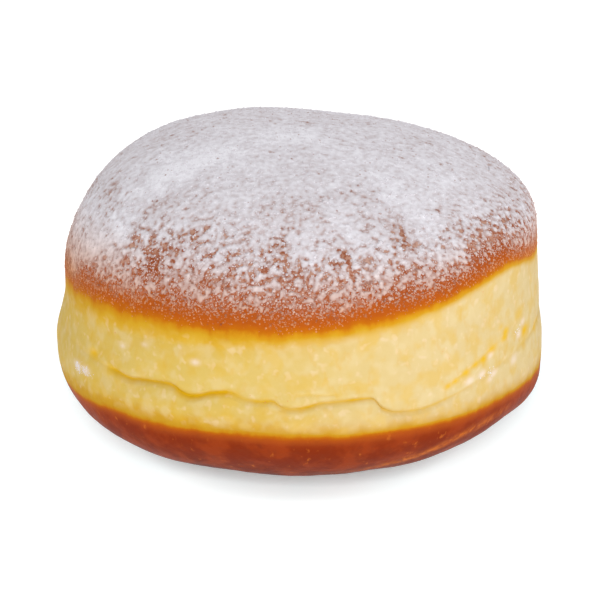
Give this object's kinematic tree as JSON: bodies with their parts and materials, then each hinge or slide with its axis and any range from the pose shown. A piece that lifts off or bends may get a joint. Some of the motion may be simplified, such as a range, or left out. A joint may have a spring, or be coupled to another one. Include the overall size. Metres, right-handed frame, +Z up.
{
  "type": "jelly filled doughnut",
  "caption": "Whole jelly filled yeast doughnut with a browned dome, a pale creased wall round its middle and a dusting of icing sugar.",
  "frame": {"origin": "on the surface that the doughnut stands on, under the middle of its bounding box", "axes": "+Z up out of the dome; -Y towards the side that shows the wavy step in the crease; +X to the right seen from there, where the shoulder is fuller"},
  "size_m": [0.087, 0.086, 0.0561],
  "materials": {
    "fried_dough": "matte",
    "icing_sugar": "matte"
  },
  "bodies": {
    "root": {"doughnut": "fried_dough"}
  },
  "joints": []
}
